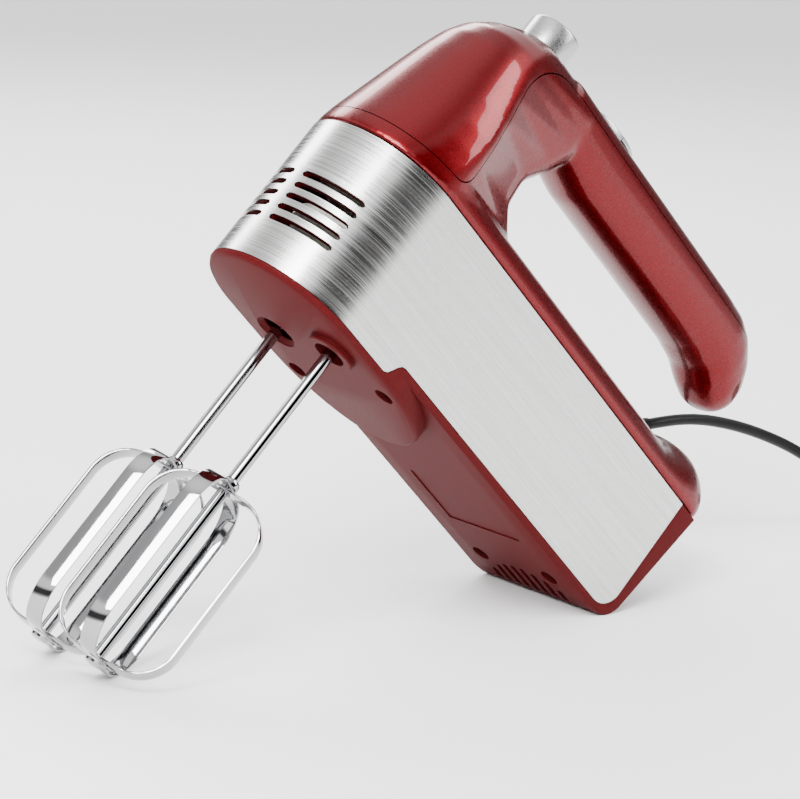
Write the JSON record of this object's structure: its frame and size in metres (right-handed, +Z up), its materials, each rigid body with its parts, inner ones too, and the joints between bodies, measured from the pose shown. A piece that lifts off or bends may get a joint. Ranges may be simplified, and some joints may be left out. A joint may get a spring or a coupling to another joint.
{
  "type": "hand mixer",
  "caption": "Hand mixer with a looped handle, a steel band round its body, wire beaters in geared sockets, an eject button, a speed slider and a coiled mains cord.",
  "frame": {"origin": "on the floor, under the middle of the mixer without its cord", "axes": "+X from the beater tips towards the heel, +Y away from the viewer across the mixer, +Z up; the mixer rests on its beaters and its heel"},
  "size_m": [0.5333, 0.0921, 0.2399],
  "materials": {
    "pearl_red": "pearl gloss",
    "brushed_steel": "brushed",
    "polished_steel": "polished",
    "satin_silver": "satin silver",
    "black_rubber": "matt",
    "white_nylon": "matt",
    "copper": "enamelled copper wire",
    "laminated_iron": "machined",
    "dark_plastic": "matt",
    "brass": "bright",
    "board_green": "matt",
    "graphite": "matt"
  },
  "bodies": {
    "housing": {"bottom_housing": "pearl_red", "steel_band": "brushed_steel", "top_cover": "pearl_red", "main_housing": "pearl_red", "screw_front_near": "laminated_iron", "screw_front_far": "laminated_iron", "screw_rear_near": "laminated_iron", "screw_rear_far": "laminated_iron", "gearbox_base": "white_nylon", "gearbox_cover": "white_nylon", "thrust_washer_far": "laminated_iron", "thrust_washer_near": "laminated_iron", "motor_bracket_front": "white_nylon", "motor_bracket_rear": "dark_plastic", "stator_core": "laminated_iron", "field_coil_upper": "copper", "field_coil_lower": "copper", "brush_holder_near": "brass", "brush_holder_far": "brass", "carbon_brush_near": "graphite", "carbon_brush_far": "graphite", "bearing_front": "laminated_iron", "bearing_rear": "laminated_iron", "switch_body": "dark_plastic", "control_board": "board_green", "heat_sink": "laminated_iron", "eject_spring": "laminated_iron", "strain_relief": "black_rubber", "cord": "black_rubber", "cord_coil": "black_rubber", "coil_tie": "black_rubber", "plug_body": "black_rubber", "plug_pin_near": "brass", "plug_pin_far": "brass"},
    "gear_far": {"beater_gear_far": "white_nylon"},
    "gear_near": {"beater_gear_near": "white_nylon"},
    "beater_far": {"beater_far_stem": "polished_steel", "beater_far_loop_outer": "polished_steel", "beater_far_loop_inner": "polished_steel", "beater_far_ferrule": "polished_steel", "beater_far_rivet": "polished_steel"},
    "beater_near": {"beater_near_stem": "polished_steel", "beater_near_loop_outer": "polished_steel", "beater_near_loop_inner": "polished_steel", "beater_near_ferrule": "polished_steel", "beater_near_rivet": "polished_steel"},
    "rotor": {"worm_shaft": "laminated_iron", "armature_core": "laminated_iron", "armature_winding_front": "copper", "armature_winding_rear": "copper", "commutator": "copper", "cooling_fan": "dark_plastic"},
    "eject": {"eject_button": "satin_silver", "eject_rod": "laminated_iron", "eject_yoke": "laminated_iron"},
    "turbo": {"turbo_button": "satin_silver"},
    "speed": {"speed_slider": "satin_silver", "slider_contact": "brass"}
  },
  "joints": [
    {"name": "motor_spin", "type": "hinge", "parent": "housing", "child": "rotor", "pos_m": [-0.02845, 0, 0.15177], "axis": [0.7231, 0, -0.6907], "continuous": true},
    {"name": "far_beater_spin", "type": "hinge", "parent": "housing", "child": "gear_far", "pos_m": [-0.0616, 0.0175, 0.11706], "axis": [0.6907, 0, 0.7231], "continuous": true},
    {"name": "near_beater_spin", "type": "hinge", "parent": "housing", "child": "gear_near", "pos_m": [-0.0616, -0.0175, 0.11706], "axis": [0.6907, 0, 0.7231], "continuous": true},
    {"name": "far_beater_pull", "type": "slide", "parent": "gear_far", "child": "beater_far", "axis": [-0.6907, 0, -0.7231], "range_m": [0, 0.045]},
    {"name": "near_beater_pull", "type": "slide", "parent": "gear_near", "child": "beater_near", "axis": [-0.6907, 0, -0.7231], "range_m": [0, 0.045]},
    {"name": "eject_press", "type": "slide", "parent": "housing", "child": "eject", "axis": [-0.6907, 0, -0.7231], "range_m": [0, 0.008], "stiffness_N_per_m": 300, "springref_m": -0.004},
    {"name": "turbo_press", "type": "slide", "parent": "housing", "child": "turbo", "axis": [-0.6907, 0, -0.7231], "range_m": [0, 0.002], "stiffness_N_per_m": 400, "springref_m": -0.001},
    {"name": "speed_slide", "type": "slide", "parent": "housing", "child": "speed", "axis": [0.7231, 0, -0.6907], "range_m": [0, 0.024]}
  ],
  "couplings": [
    {"joint": "far_beater_spin", "follows": "motor_spin", "ratio": -0.038462},
    {"joint": "near_beater_spin", "follows": "motor_spin", "ratio": 0.038462}
  ]
}
